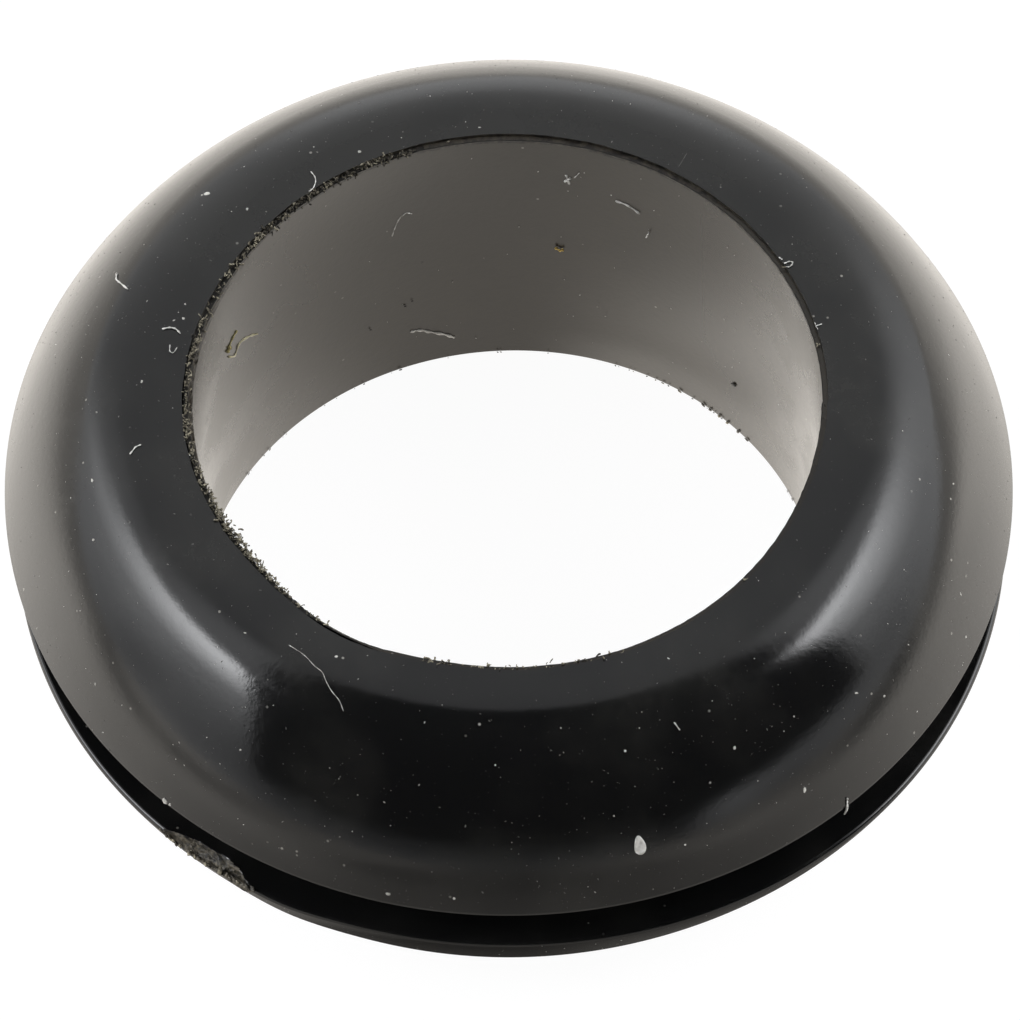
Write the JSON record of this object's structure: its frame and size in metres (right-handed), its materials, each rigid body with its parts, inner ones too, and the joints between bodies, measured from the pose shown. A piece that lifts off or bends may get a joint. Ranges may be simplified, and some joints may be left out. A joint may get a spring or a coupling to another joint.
{
  "type": "rubber grommet",
  "caption": "Round moulded rubber grommet with two domed flanges, a straight bore and a narrow groove that holds a sheet metal panel.",
  "frame": {"origin": "centre of the lower face, on the bore axis", "axes": "+Z along the bore axis, from the lower flange to the upper"},
  "size_m": [0.0256, 0.0256, 0.0099],
  "materials": {
    "rubber": "smooth moulded black rubber, semi-gloss, lightly dusty"
  },
  "bodies": {
    "root": {"grommet": "rubber"}
  },
  "joints": []
}
